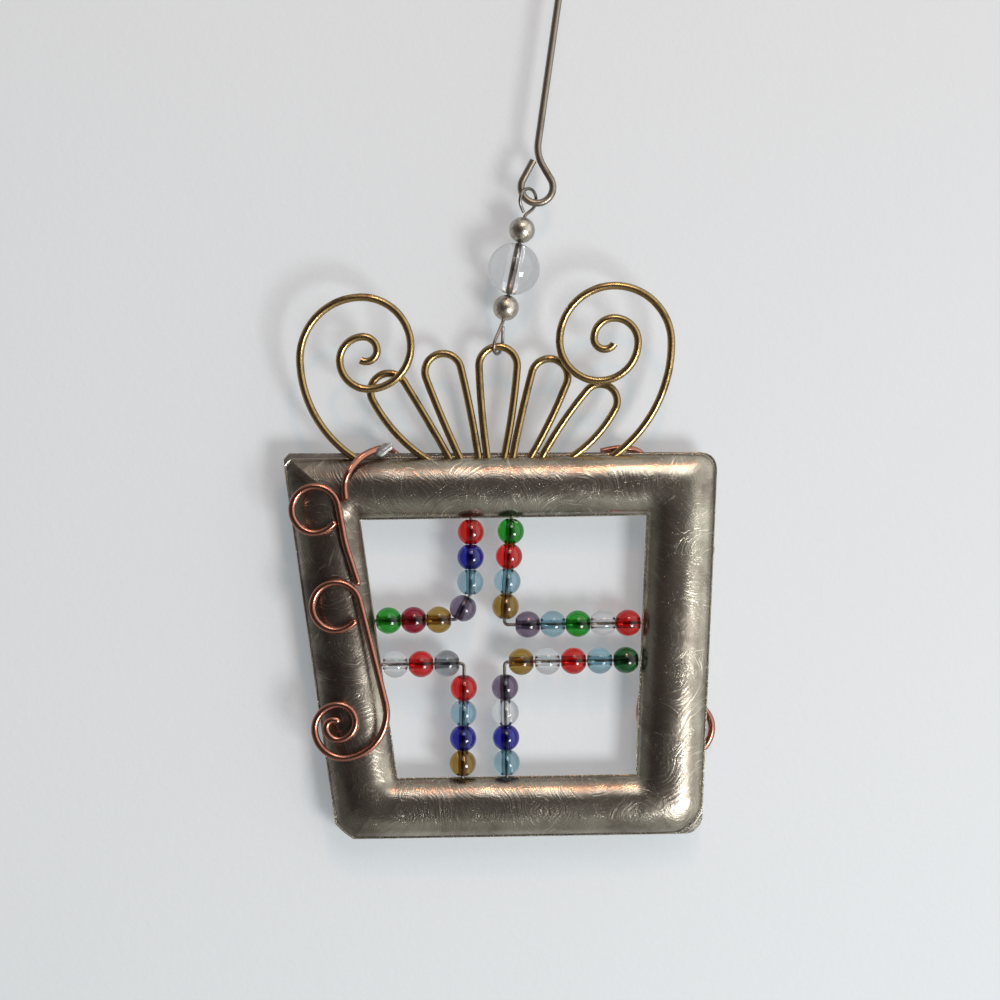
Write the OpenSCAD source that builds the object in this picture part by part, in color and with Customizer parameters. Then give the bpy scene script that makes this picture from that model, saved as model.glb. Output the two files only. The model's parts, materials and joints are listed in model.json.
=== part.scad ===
// Hanging package ornament: a hollow puffed metal frame with a wire bow, wire scrolls,
// glass beads threaded across its opening, a beaded drop and a wire hook. It hangs in
// the XZ plane, its front faces -Y, and the origin is the point that it hangs from.

/* [Frame] */
// Width of the frame along its top edge
top_width = 66.9; // [58:0.1:76]
// Width of the frame along its bottom edge
bottom_width = 56; // [50:0.1:64]
// Height of the frame from top edge to bottom edge
frame_height = 58.6; // [54:0.1:66]
// How far the bottom edge sits right of the middle of the top edge
bottom_shift = 2; // [-3:0.1:3]
// Width of the top rail
top_rail = 9.6; // [8:0.1:10.5]
// Width of the bottom rail
bottom_rail = 9.3; // [8:0.1:10.5]
// Width of the left rail
left_rail = 10.5; // [9:0.1:11.5]
// Width of the right rail
right_rail = 10.6; // [9:0.1:11.5]
// Length cut off the top left corner
top_left_cut = 1; // [0.6:0.1:3]
// Length rounded off the top right corner
top_right_cut = 2.8; // [1:0.1:4]
// Length rounded off the bottom right corner
bottom_right_cut = 4; // [1:0.1:5]
// Length cut off the bottom left corner
bottom_left_cut = 2.5; // [1:0.1:4]
// How high each sheet is puffed out of the seam
puff = 2.6; // [2:0.1:4]
// Thickness of the sheet metal
sheet = 0.5; // [0.3:0.05:0.8]
// How far the back sheet's top left corner stands above the front's
back_rise = 0.85; // [0:0.05:1.2]
// How far the whole ornament leans to the left, in degrees
lean_angle = 0.93; // [0:0.01:2]

/* [Wire bow] */
// Diameter of the brass wire
brass_wire = 1.2; // [0.8:0.05:1.2]
// Width of the row of petals as a share of the frame's top edge
petal_row_share = 0.598; // [0.57:0.002:0.64]
// Height of the middle petal's round end above the frame
petal_height = 13.8; // [12:0.1:17]
// Radius of a petal's round end as a share of the row's width
petal_round_share = 0.07; // [0.063:0.001:0.073]
// Radius of the left scroll's large turn
left_scroll = 9.5; // [8:0.1:11]
// Radius of the right scroll's large turn
right_scroll = 8.7; // [8:0.1:10]
// How far each foot reaches into the frame
foot_depth = 2.4; // [1.5:0.1:4]
// How far the scrolls lean forward, in degrees
scroll_lean_angle = 6.5; // [6:0.5:9]

/* [Copper scrolls] */
// Diameter of the copper wire
copper_wire = 1.1; // [0.8:0.05:1.15]
// Radius of the upper loop
upper_loop = 3.55; // [3:0.05:3.7]
// Radius of the middle loop, which the bottom spiral follows
middle_loop = 3.65; // [3.2:0.05:3.8]
// Distance of the front's upper loop below the top corner
front_upper_drop = 8.45; // [7.5:0.05:9.5]
// Distance of the back's upper loop below the top corner
back_upper_drop = 15.1; // [14:0.05:15.3]
// How far the back's scrolls sit out towards the rail's outer edge
back_outset = 0.35; // [0:0.05:0.6]
// Distance of the front's middle loop below the top corner
front_middle_drop = 23.5; // [23.3:0.05:24.5]
// Distance of the back's middle loop below the top corner
back_middle_drop = 24.25; // [24:0.05:25]

/* [Glass beads] */
// Width of a glass bead as a multiple of its length along the wire
bead_plumpness = 1.1; // [1.02:0.01:1.14]
// Diameter of the dark wire that carries the beads
strand_wire = 0.5; // [0.3:0.05:0.6]
// Bend radius of the dark wire
strand_bend = 0.6; // [0.5:0.05:0.8]

/* [Drop] */
// Diameter of a metal bead
metal_bead = 4; // [3:0.1:4.6]
// Diameter of the clear glass bead
clear_bead = 8; // [6:0.1:9]
// Diameter of the wire through the drop
drop_wire_width = 0.5; // [0.4:0.05:0.6]
// Radius of the eye that holds the middle petal
lower_eye = 1.45; // [1.4:0.05:1.7]
// Radius of the eye that hangs in the hook
upper_eye = 1.75; // [1.7:0.05:1.9]
// Bare wire between the lower metal bead and the middle petal's wire
lower_reach = 4.1; // [3.9:0.1:6]
// How far the drop leans to the right, in degrees
drop_lean_angle = 12.6; // [8:0.1:14]

/* [Hook] */
// Diameter of the steel wire
hook_wire = 1.1; // [0.8:0.05:1.15]
// Radius of the closed loop at the bottom
hook_loop = 2.45; // [2.4:0.05:3]
// Length of the straight shank
shank = 47.2; // [30:0.1:60]
// Radius of the open bend at the top
hook_bend = 6; // [4.5:0.1:8]
// Length of the tail that comes down from the bend
tail = 13; // [8:0.5:18]

/* [Fits] */
// Gap round a wire in a bead's bore
bore_gap = 0.08; // [0.03:0.01:0.09]
// Gap between neighbouring beads
bead_gap = 0.1; // [0.06:0.02:0.2]
// Gap between a rail and the first bead
rail_gap = 0.15; // [0.1:0.05:0.3]
// Gap round a wire where it passes the seam
seam_gap = 0.05; // [0.03:0.01:0.1]
// Gap under a wire that lies on the frame
seat_gap = 0.05; // [0.03:0.01:0.1]
// Gap under the middle petal in its eye
hang_gap = 0.3; // [0.2:0.05:0.35]

/* [Hidden] */
$fn = 48;
// A collar this much thicker than its wire, and this long, joins each bend to the next
collar_share = 1.02;
collar_length_share = 0.2;
// Counts round a swept wire, along each of its spans, and across and round a shell
sweep_sides = 8;
sweep_steps = 3;
arch_steps = 12;
lining_steps = 9;
cut_steps = 4;
// Powers of the arch of the puffed sheet
arch_power = 2.4;
arch_softness = 0.75;
// How far each corner is rounded: 0 is a straight cut, 1 a full round
top_left_round_share = 0.1;
top_right_round_share = 0.9;
bottom_right_round_share = 0.6;
bottom_left_round_share = 0.2;
// The back sheet's bottom right corner is cut by this share of the front's
back_cut_share = 0.55;

// Petals, left to right: left foot, right foot, middle and height of the round end,
// its radius, and the radii of the left and right legs. The first three are shares of
// the row's width, the fourth of the petal height and the rest of the petal radius.
petal_shares = [
    [-0.2975, -0.2, -0.425, 0.732, 1, 8.6, 107],
    [-0.159, -0.085, -0.215, 0.942, 1, 57, 57],
    [-0.051, 0.016, -0.003, 1, 1.05, 46, 40],
    [0.049, 0.121, 0.194, 0.866, 1, 71, 28.6],
    [0.165, 0.29, 0.3875, 0.587, 0.93, 21.4, 7.1]
];
middle_petal = 2;
petal_row = top_width * petal_row_share;
petal_radius = petal_row * petal_round_share;

// Scrolls from the foot inwards: radius as a share of the large turn, and degrees turned
left_scroll_shares = [
    [1.92, 55.8], [1, 90], [0.79, 90], [0.69, 90], [0.46, 90], [0.385, 90], [0.22, 90],
    [0.18, 120]
];
right_scroll_shares = [
    [2.44, 53.3], [1, 90], [0.965, 90], [0.7, 90], [0.68, 90], [0.42, 90], [0.355, 90],
    [0.19, 150]
];
// Feet of the scrolls, as shares of half the frame's width
left_scroll_foot_share = -0.671;
right_scroll_foot_share = 0.535;

// Middle copper wire, as radius share of its loop and degrees turned, 0 for straight
middle_copper_shares = [
    [1, -305], [4.4, 0], [1.865, -95], [1.243, -90], [1.03, -90], [0.73, -90], [0.743, -90],
    [0.527, -90], [0.338, -120]
];
// Upper copper wire: degrees round its loop and in its stem's bend, and the lengths of
// the stem before the bend, of the bend's radius and of the stem after it, as shares of
// the whole stem
upper_loop_angle = 313;
upper_stem_angle = 8;
upper_stem_shares = [0.42, 1.7, 0.46];
// Middles of the loops across the rail, as shares of its width
upper_across_share = 0.386;
middle_across_share = 0.49;
// How far round from the stem each loop's tucked end starts, in degrees
upper_tuck_angle = 45;
middle_tuck_angle = 49;
// Wires that lead over the top, as shares of the left rail's width: in from the rail's
// outer edge, down from the corner, and out of the seam as a share of the height that
// wires lie at
front_lead_shares = [
    [0.85, 0.65, 1], [0.85, 0.508, 1], [0.873, 0.366, 1], [0.965, 0.189, 1], [1.106, 0.041, 0.65],
    [1.24, -0.053, 0.42], [1.443, -0.129, 0], [1.562, -0.114, -0.4], [1.658, -0.043, -0.75],
    [1.731, 0.052, -0.97], [1.782, 0.181, -1]
];
back_lead_shares = [
    [0.737, 1.14, 1], [0.783, 0.8, 1], [0.875, 0.43, 1], [1.001, 0.15, 0.86], [1.151, -0.02, 0.6],
    [1.354, -0.075, 0.42], [1.554, -0.065, 0.42], [1.722, -0.03, 0.42]
];

// Strands in order: upper left, upper right, lower left, lower right
STRANDS = ["upper_left", "upper_right", "lower_left", "lower_right"];
strand_side = [-1, 1, -1, 1];
strand_up = [1, 1, -1, -1];
upright_beads = [4, 4, 4, 4];
level_beads = [3, 5, 3, 5];
// Beads at the end of the upright run that hang askew below a kink
askew_beads = [1, 0, 0, 0];
// Corners of the strands, as shares of the opening: across it from its left side, and
// down it from its top
corner_across_shares = [0.3067, 0.483, 0.32, 0.476];
corner_down_shares = [0.3904, 0.4144, 0.5605, 0.558];
// How far the upright run's end at the rail lies right of its corner, and how far the
// kink does, as shares of the opening's width
sway_shares = [0.059, 0.0339, -0.0131, 0.002];
kink_sway_share = 0.0514;
// Where the kink is on the way from the rail down to the corner
kink_down_share = 0.76;
// Bare wire that stays beside each corner, as a share of a bead's length
upright_spare_shares = [0.015, 0.22, 0.2, 0.2];
level_spare_shares = [0.21, 0.42, 0.12, 0.2];
askew_spare_share = 0.1;
// Where an askew bead starts below its kink, likewise
kink_lead_share = 0.1;
// Slack between the beads of a level run, likewise
level_slack_shares = [0, 0, 0.03, 0.045];
RED = [0.85, 0.1, 0.08, 0.8];
GARNET = [0.6, 0.04, 0.1, 0.8];
COBALT = [0.1, 0.1, 0.65, 0.8];
AQUA = [0.45, 0.65, 0.72, 0.7];
AMETHYST = [0.35, 0.28, 0.38, 0.8];
AMBER = [0.6, 0.42, 0.1, 0.8];
GREEN = [0.1, 0.55, 0.1, 0.8];
FOREST = [0.02, 0.35, 0.08, 0.8];
CLEAR = [0.88, 0.9, 0.92, 0.5];
SMOKE = [0.5, 0.55, 0.55, 0.7];
// Colours from the top or bottom rail along the wire to the side rail
bead_colours = [
    [RED, COBALT, AQUA, AMETHYST, AMBER, GARNET, GREEN],
    [GREEN, RED, AQUA, AMBER, AMETHYST, AQUA, GREEN, CLEAR, RED],
    [AMBER, COBALT, AQUA, RED, SMOKE, RED, CLEAR],
    [AQUA, COBALT, CLEAR, AMETHYST, AMBER, CLEAR, RED, AQUA, FOREST]
];

// Plane of the lower eye, turned from the frame's, and of the upper eye, in degrees
lower_eye_angle = 65;
upper_eye_angle = 46;
// Where the hook's loop lies from the upper eye: degrees from upright, and a distance
// that is a share of the two radii together
link_angle = 35.7;
link_share = 0.571;
// The eyes' necks: height above the round part and bend radius, as shares of its radius
lower_neck_share = 2.5;
upper_neck_share = 1.37;
neck_bend_share = 1.6;
// Hook: height of the loop's neck as a share of its radius, bend into the shank as a
// share of the same, degrees from level of the shank, and where the loop's tucked end
// stops short of the neck as a share of the wire
hook_neck_share = 2.04;
shank_bend_share = 2.25;
shank_angle = 81;
hook_tuck_share = 0.91;
hook_angle = 190;
// The tail's flick away from the shank, in degrees and as a share of its length
flick_angle = 25;
flick_share = 0.25;
// Gap left at a wire's tucked end, as a share of the wire
tuck_share = 0.2;

function bead_name(s, i) = str(STRANDS[s], "_bead_", i + 1);
function bead_count(s) = upright_beads[s] + level_beads[s];

// Plane geometry. Points are [across, up], and headings are degrees from across to up.
function heading(v) = atan2(v[1], v[0]);
function toward(angle) = [cos(angle), sin(angle)];
function unit(v) = v / norm(v);
function mix(a, b, share) = a + (b - a) * share;
function inward(v) = [v[1], -v[0]];
function turned(angle) = angle > 180 ? turned(angle - 360) : angle <= -180 ? turned(angle + 360) : angle;
function clockwise(angle) = angle > 0 ? clockwise(angle - 360) : angle <= -360 ? clockwise(angle + 360) : angle;
// Crossing of the line through p along d with the line through q along e
function crossing(p, d, q, e) =
    let (w = q - p, cross_de = d[0] * e[1] - d[1] * e[0])
    p + d * ((w[0] * e[1] - w[1] * e[0]) / cross_de);
function onto_line(p, q, d) = q + d * ((p - q) * d);

// Bent wires. A bend is [radius, degrees], left turns positive, or [length, 0] if straight.
function bend_end(place, bend) =
    let (at = [place[0], place[1]], h = place[2])
    bend[1] == 0
        ? concat(at + toward(h) * bend[0], [h])
        : let (s = sign(bend[1]), hub = at + toward(h + 90 * s) * bend[0])
          concat(hub + toward(h - 90 * s + bend[1]) * bend[0], [h + bend[1]]);
function places(start, bends, i = 0) =
    i == len(bends) ? [start] : concat([start], places(bend_end(start, bends[i]), bends, i + 1));
function scaled_bends(shares, unit_size, hand = 1) =
    [for (row = shares) [row[0] * unit_size, row[1] * hand]];
// Bends of a wire that runs straight from point to point with rounded corners
function corner_turn(points, i) =
    turned(heading(points[i + 1] - points[i]) - heading(points[i] - points[i - 1]));
function corner_room(points, i, radius) =
    i <= 0 || i >= len(points) - 1 ? 0 : radius * tan(abs(corner_turn(points, i)) / 2);
function cornered_bends(points, radius) = [
    for (i = [0 : len(points) - 2])
        for (part = [0, 1])
            if (part == 0)
                [norm(points[i + 1] - points[i]) - corner_room(points, i, radius)
                    - corner_room(points, i + 1, radius), 0]
            else if (i < len(points) - 2)
                [radius, corner_turn(points, i + 1)]
];

// One bend of round wire, starting at the origin along +X in the plane of X and Y
module one_bend(bend, wire) {
    if (bend[1] == 0) {
        rotate([0, 90, 0]) cylinder(d = wire, h = bend[0]);
    } else {
        rotate([bend[1] < 0 ? 180 : 0, 0, 0])
            translate([0, bend[0], 0])
                rotate([0, 0, -90])
                    rotate_extrude(angle = abs(bend[1]))
                        translate([bend[0], 0])
                            circle(d = wire);
    }
}

// A bent wire in the upright plane, with a collar at each joint and, if asked for,
// rounded ends
module bent_wire(start, bends, wire, round_ends = false) {
    stops = places(start, bends);
    rotate([90, 0, 0]) {
        for (i = [0 : len(bends) - 1])
            translate([stops[i][0], stops[i][1], 0])
                rotate([0, 0, stops[i][2]])
                    one_bend(bends[i], wire);
        for (i = [1 : len(bends) - 1])
            translate([stops[i][0], stops[i][1], 0])
                rotate([0, 90, stops[i][2]])
                    cylinder(d = wire * collar_share, h = wire * collar_length_share, center = true);
        if (round_ends)
            for (stop = [stops[0], stops[len(bends)]])
                translate([stop[0], stop[1], 0])
                    sphere(d = wire * collar_share);
    }
}

// A smooth curve through points, as a Catmull-Rom spline
function spline_point(a, b, c, d, t) =
    (2 * b + (c - a) * t + (2 * a - 5 * b + 4 * c - d) * t * t + (3 * b - a - 3 * c + d) * t * t * t) / 2;
function smooth(points) = concat(
    [for (i = [0 : len(points) - 2])
        for (k = [0 : sweep_steps - 1])
            spline_point(points[max(i - 1, 0)], points[i], points[i + 1],
                points[min(i + 2, len(points) - 1)], k / sweep_steps)],
    [points[len(points) - 1]]
);
function tangent(route, i) = unit(route[min(i + 1, len(route) - 1)] - route[max(i - 1, 0)]);

// A round wire along a route in space
module swept_wire(route, wire) {
    n = len(route);
    rings = [
        for (i = [0 : n - 1])
            let (t = tangent(route, i), side = unit(cross(t, [0, 1, 0])), lift = cross(side, t))
                for (k = [0 : sweep_sides - 1])
                    route[i] + wire / 2
                        * (side * cos(360 * k / sweep_sides) + lift * sin(360 * k / sweep_sides))
    ];
    tube = [
        for (i = [0 : n - 2])
            for (k = [0 : sweep_sides - 1])
                let (a = i * sweep_sides + k, b = i * sweep_sides + (k + 1) % sweep_sides)
                    for (face = [[a, b, b + sweep_sides], [a, b + sweep_sides, a + sweep_sides]]) face
    ];
    first_cap = [for (k = [1 : sweep_sides - 2]) [0, k + 1, k]];
    last = (n - 1) * sweep_sides;
    last_cap = [for (k = [1 : sweep_sides - 2]) [last, last + k, last + k + 1]];
    polyhedron(points = rings, faces = concat(tube, first_cap, last_cap), convexity = 6);
}

// The frame's outline, clockwise from the top left as seen from the front
outer_corners = [
    [-top_width / 2, 0],
    [top_width / 2, 0],
    [bottom_shift + bottom_width / 2, -frame_height],
    [bottom_shift - bottom_width / 2, -frame_height]
];
back_corners = [outer_corners[0] + [0, back_rise], outer_corners[1], outer_corners[2], outer_corners[3]];
rails = [top_rail, right_rail, bottom_rail, left_rail];
cuts = [top_left_cut, top_right_cut, bottom_right_cut, bottom_left_cut];
back_cuts = [top_left_cut, top_right_cut, bottom_right_cut * back_cut_share, bottom_left_cut];
corner_round_shares = [
    top_left_round_share, top_right_round_share, bottom_right_round_share, bottom_left_round_share
];
function along(corners, k) = unit(corners[(k + 1) % 4] - corners[k % 4]);
inner_corners = [
    for (k = [0 : 3])
        let (before = (k + 3) % 4, d = along(outer_corners, before), e = along(outer_corners, k))
            crossing(outer_corners[k] + inward(d) * rails[before], d,
                outer_corners[k] + inward(e) * rails[k], e)
];

// Pairs of an outer and an inner point round the frame, with the rail's width there
function corner_pairs(corners, trims, k) =
    let (
        before = (k + 3) % 4,
        d = along(corners, before),
        e = along(corners, k),
        hub = inner_corners[k],
        first = onto_line(hub, corners[k], d),
        last = onto_line(hub, corners[k], e),
        start = corners[k] - d * trims[k],
        end = corners[k] + e * trims[k],
        pull = mix((start + end) / 2, corners[k], corner_round_shares[k]),
        curve = [for (i = [0 : cut_steps])
            let (t = i / cut_steps) start * (1 - t) * (1 - t) + pull * 2 * t * (1 - t) + end * t * t],
        edge = concat([first, mix(first, start, 0.4), mix(first, start, 0.75)], curve,
            [mix(last, end, 0.75), mix(last, end, 0.4), last]),
        wide = norm(first - hub),
        far = norm(last - hub)
    )
    [for (i = [0 : len(edge) - 1]) [edge[i], hub, mix(wide, far, i / (len(edge) - 1))]];
function ring_pairs(corners, trims) = [
    for (k = [0 : 3])
        let (here = corner_pairs(corners, trims, k), next = corner_pairs(corners, trims, (k + 1) % 4),
            a = here[len(here) - 1], b = next[0])
            for (pair = concat(here, [[(a[0] + b[0]) / 2, (a[1] + b[1]) / 2, (a[2] + b[2]) / 2]])) pair
];
// Height of the arch, from 0 at both edges to 1 in the middle, for a share across
function arch(share) = pow(1 - pow(abs(2 * share - 1), arch_power), arch_softness);
function eased(share, steps) = (1 - cos(180 * share / steps)) / 2;
// A point across a pair: nearer to the inner edge it keeps the rail's width, so that
// the puffed corners are round
function across(pair, share) =
    let (reach = norm(pair[0] - pair[1]), way = (pair[0] - pair[1]) / reach)
    pair[1] + way * (pair[2] * share + (reach - pair[2]) * pow(share, 3));
function section(pair) =
    let (trim = sheet / pair[2])
    concat(
        [for (j = [0 : arch_steps])
            let (t = eased(j, arch_steps), p = across(pair, t)) [p[0], -puff * arch(t), p[1]]],
        [for (j = [lining_steps : -1 : 0])
            let (t = eased(j, lining_steps), p = across(pair, trim + (1 - 2 * trim) * t))
                [p[0], -(puff - sheet) * arch(t), p[1]]]
    );

// One puffed sheet as a closed ring, its open side on the seam
module puffed_sheet(corners, trims) {
    pairs = ring_pairs(corners, trims);
    n = len(pairs);
    m = arch_steps + lining_steps + 2;
    points = [for (pair = pairs) for (p = section(pair)) p];
    faces = [
        for (i = [0 : n - 1])
            for (j = [0 : m - 1])
                let (a = i * m + j, b = i * m + (j + 1) % m,
                    c = ((i + 1) % n) * m + (j + 1) % m, d = ((i + 1) % n) * m + j)
                    for (face = [[a, c, b], [a, d, c]]) face
    ];
    polyhedron(points = points, faces = faces, convexity = 8);
}

// Petals: the middles of the legs' arcs, which run smoothly into the round end
function leg_hub(foot, top, radius, leg, side) =
    let (
        gap = foot - top,
        far = norm(gap),
        a = ((leg - radius) * (leg - radius) - leg * leg + far * far) / (2 * far),
        h = sqrt((leg - radius) * (leg - radius) - a * a),
        u = unit(gap),
        one = top + u * a + inward(u) * h,
        two = top + u * a - inward(u) * h
    )
    (one[0] - two[0]) * side > 0 ? one : two;
function petal(i) =
    let (
        row = petal_shares[i],
        left_foot = [row[0] * petal_row, 0],
        right_foot = [row[1] * petal_row, 0],
        top = [row[2] * petal_row, row[3] * petal_height],
        radius = row[4] * petal_radius,
        left_leg = row[5] * petal_radius,
        right_leg = row[6] * petal_radius,
        left_hub = leg_hub(left_foot, top, radius, left_leg, 1),
        right_hub = leg_hub(right_foot, top, radius, right_leg, -1),
        out = heading(top - left_hub),
        back = heading(top - right_hub),
        rise = heading(left_foot - left_hub),
        fall = heading(right_foot - right_hub)
    )
    [
        concat(left_foot - toward(rise - 90) * foot_depth, [rise - 90]),
        [
            [foot_depth, 0],
            [left_leg, clockwise(out - rise)],
            [radius, clockwise(back - out)],
            [right_leg, clockwise(fall - back)],
            [foot_depth, 0]
        ]
    ];
petal_crown = [petal_shares[middle_petal][2] * petal_row,
    petal_shares[middle_petal][3] * petal_height + petal_shares[middle_petal][4] * petal_radius];

// Scrolls: the foot's straight part, then the turns
function scroll(shares, size, foot_share, hand) =
    let (foot = [foot_share * top_width / 2, 0], h = 90 - hand * shares[0][1])
    [
        concat(foot - toward(h) * foot_depth, [h]),
        concat([[foot_depth, 0]], scaled_bends(shares, size, hand))
    ];
left_scroll_path = scroll(left_scroll_shares, left_scroll, left_scroll_foot_share, -1);
right_scroll_path = scroll(right_scroll_shares, right_scroll, right_scroll_foot_share, 1);

// Strands: start at the top or bottom rail, any kink, the corner, the side rail
function rail_x(side, z) =
    let (a = inner_corners[side > 0 ? 1 : 0], b = inner_corners[side > 0 ? 2 : 3])
    mix(a[0], b[0], (z - a[1]) / (b[1] - a[1]));
function rail_z(up) = up > 0 ? inner_corners[0][1] : inner_corners[2][1];
function strand(s) =
    let (
        side = strand_side[s],
        start_z = rail_z(strand_up[s]),
        z = mix(rail_z(1), rail_z(-1), corner_down_shares[s]),
        wide = rail_x(1, z) - rail_x(-1, z),
        x = rail_x(-1, z) + wide * corner_across_shares[s],
        kink = [x + wide * kink_sway_share, mix(start_z, z, kink_down_share)]
    )
    concat(
        [[x + wide * sway_shares[s], start_z]],
        askew_beads[s] > 0 ? [kink] : [],
        [[x, z], [rail_x(side, z), z]]
    );
// The longest beads that a run of wire has room for
function fitting_length(run, beads, spare) = (run - beads * bead_gap) / (beads + spare);
function strand_fit(s) =
    let (p = strand(s), n = len(p))
    min(
        fitting_length(norm(p[1] - p[0]) - rail_gap, upright_beads[s] - askew_beads[s],
            upright_spare_shares[s]),
        fitting_length(norm(p[n - 1] - p[n - 2]) - rail_gap, level_beads[s], level_spare_shares[s]),
        askew_beads[s] > 0
            ? fitting_length(norm(p[2] - p[1]), askew_beads[s], askew_spare_share)
            : norm(p[1] - p[0])
    );
bead_length = min([for (s = [0 : len(STRANDS) - 1]) strand_fit(s)]);
bead_width = bead_length * bead_plumpness;
function pitch(slack_share = 0) = bead_length * (1 + slack_share) + bead_gap;
// The wire itself reaches into both rails
function strand_route(s) =
    let (p = strand(s), n = len(p))
    concat(
        [p[0] - unit(p[1] - p[0]) * foot_depth],
        [for (i = [1 : n - 2]) p[i]],
        [p[n - 1] + unit(p[n - 1] - p[n - 2]) * foot_depth]
    );
// A bead's middle and heading: upright ones are counted from the top or bottom rail,
// askew ones from the kink and level ones from the corner
function bead_place(s, i) =
    let (
        p = strand(s),
        n = len(p),
        straight = upright_beads[s] - askew_beads[s],
        level = i >= upright_beads[s],
        askew = !level && i >= straight,
        step = level ? pitch(level_slack_shares[s]) : pitch(),
        way = level ? unit(p[n - 1] - p[n - 2]) : askew ? unit(p[2] - p[1]) : unit(p[1] - p[0]),
        from = level ? p[n - 1] - way * (rail_gap + level_beads[s] * step) : askew ? p[1] : p[0],
        lead = level ? 0 : askew ? kink_lead_share * bead_length : rail_gap,
        rank = level ? i - upright_beads[s] : askew ? i - straight : i
    )
    concat(from + way * (lead + (rank + 0.5) * step), [heading(way)]);

// The drop: distances along it from the middle petal's wire
lower_bead_at = lower_reach + metal_bead / 2;
clear_bead_at = lower_bead_at + (metal_bead + clear_bead) / 2 + bead_gap;
upper_bead_at = clear_bead_at + (metal_bead + clear_bead) / 2 + bead_gap;
lower_eye_at = lower_eye - drop_wire_width / 2 - brass_wire / 2 - hang_gap;
neck_bend = neck_bend_share * drop_wire_width;
upper_eye_at = upper_bead_at + metal_bead / 2 + hang_gap + upper_neck_share * upper_eye;
eye_middle = petal_crown + [sin(drop_lean_angle), cos(drop_lean_angle)] * upper_eye_at;
loop_middle = eye_middle
    + [sin(link_angle), cos(link_angle)] * link_share * (upper_eye + hook_loop);
// An eye from its neck's apex: half its angle there, then its bends
function eye_half(radius, neck) = asin(radius / neck);
function tangent_run(radius, neck) = sqrt(neck * neck - radius * radius);
function eye_bends(lead, radius, neck, bend, wire) =
    let (
        half = eye_half(radius, neck),
        run = tangent_run(radius, neck),
        room = bend * tan(half / 2),
        stop = wire * (1 + tuck_share) / sin(min(2 * half, 90))
    )
    [
        [lead - room, 0], [bend, -half], [run - room, 0], [radius, 180 + 2 * half], [run - stop, 0]
    ];

// The hook, from the lowest point of its loop: up to the tail, and round to the tucked end
hook_half = eye_half(hook_loop, hook_neck_share * hook_loop);
hook_run = tangent_run(hook_loop, hook_neck_share * hook_loop);
shank_bend = shank_bend_share * hook_loop;
hook_start = loop_middle - [0, hook_loop];
hook_side_angle = 90 + hook_half;
shank_turn_angle = hook_side_angle - shank_angle;
hook_up_bends = [
    [hook_loop, hook_side_angle],
    [hook_run - shank_bend * tan(shank_turn_angle / 2), 0],
    [shank_bend, -shank_turn_angle],
    [shank, 0],
    [hook_bend, hook_angle],
    [tail, 0],
    [hook_bend, -flick_angle],
    [tail * flick_share, 0]
];
hook_tuck_bends = [
    [hook_loop, -hook_side_angle],
    [hook_run - hook_wire * hook_tuck_share, 0]
];
// The middle of the open bend, and the point inside its top that the ornament hangs from
bend_start = places(concat(hook_start, [0]), hook_up_bends)[4];
bend_middle = [bend_start[0], bend_start[1]] + toward(bend_start[2] + 90) * hook_bend;
hang_point = bend_middle + toward(90 - lean_angle) * (hook_bend - hook_wire / 2);

// Everything is laid out from the middle of the frame's top edge, then hung up
module hung() {
    rotate([0, -lean_angle, 0]) translate([-hang_point[0], 0, -hang_point[1]]) children();
}

// Every wire that passes a seam, a little thicker and longer, to cut its way
module foot_path(start, wire, turn_forward = 0) {
    rotate([turn_forward, 0, 0])
        rotate([90, 0, 0])
            translate([start[0], start[1], 0])
                rotate([0, 0, start[2]])
                    translate([-wire, 0, 0])
                        rotate([0, 90, 0])
                            cylinder(d = wire + 2 * seam_gap, h = foot_depth + back_rise + 2 * wire);
}
module seam_paths() {
    for (i = [0 : len(petal_shares) - 1]) {
        path = petal(i);
        stops = places(path[0], path[1]);
        foot_path(path[0], brass_wire);
        foot_path([stops[5][0], stops[5][1], stops[5][2] + 180], brass_wire);
    }
    foot_path(left_scroll_path[0], brass_wire, scroll_lean_angle);
    foot_path(right_scroll_path[0], brass_wire, scroll_lean_angle);
    for (s = [0 : len(STRANDS) - 1]) {
        route = strand_route(s);
        n = len(route);
        foot_path(concat(route[0], [heading(route[1] - route[0])]), strand_wire);
        foot_path(concat(route[n - 1], [heading(route[n - 2] - route[n - 1])]), strand_wire);
    }
}

module frame_front() {
    color([0.5, 0.48, 0.42])
        hung()
            difference() {
                puffed_sheet(outer_corners, cuts);
                seam_paths();
            }
}

module frame_back() {
    color([0.45, 0.43, 0.38])
        hung()
            difference() {
                mirror([0, 1, 0]) puffed_sheet(back_corners, back_cuts);
                seam_paths();
            }
}

module left_scroll_wire() {
    color([0.6, 0.5, 0.24])
        hung()
            rotate([scroll_lean_angle, 0, 0])
                bent_wire(left_scroll_path[0], left_scroll_path[1], brass_wire);
}

module right_scroll_wire() {
    color([0.6, 0.5, 0.24])
        hung()
            rotate([scroll_lean_angle, 0, 0])
                bent_wire(right_scroll_path[0], right_scroll_path[1], brass_wire);
}

module petal_wire(i) {
    path = petal(i);
    color([0.62, 0.52, 0.25])
        hung()
            bent_wire(path[0], path[1], brass_wire);
}

// Puts flat scrollwork on the front's left rail, or turned about on the back's right rail
lie_height = puff + seat_gap + copper_wire / 2;
left_slope = (outer_corners[3][0] - outer_corners[0][0]) / frame_height;
right_slope = (outer_corners[1][0] - outer_corners[2][0]) / frame_height;
rail_slant = atan(left_slope);
back_rail_slant = atan(right_slope);
module on_front_rail() {
    translate([outer_corners[0][0], -lie_height, outer_corners[0][1]])
        rotate([0, -rail_slant, 0])
            children();
}
module on_back_rail() {
    translate([outer_corners[1][0] + back_outset, lie_height, outer_corners[1][1]])
        rotate([0, back_rail_slant, 0])
            rotate([0, 0, 180])
                children();
}

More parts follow.
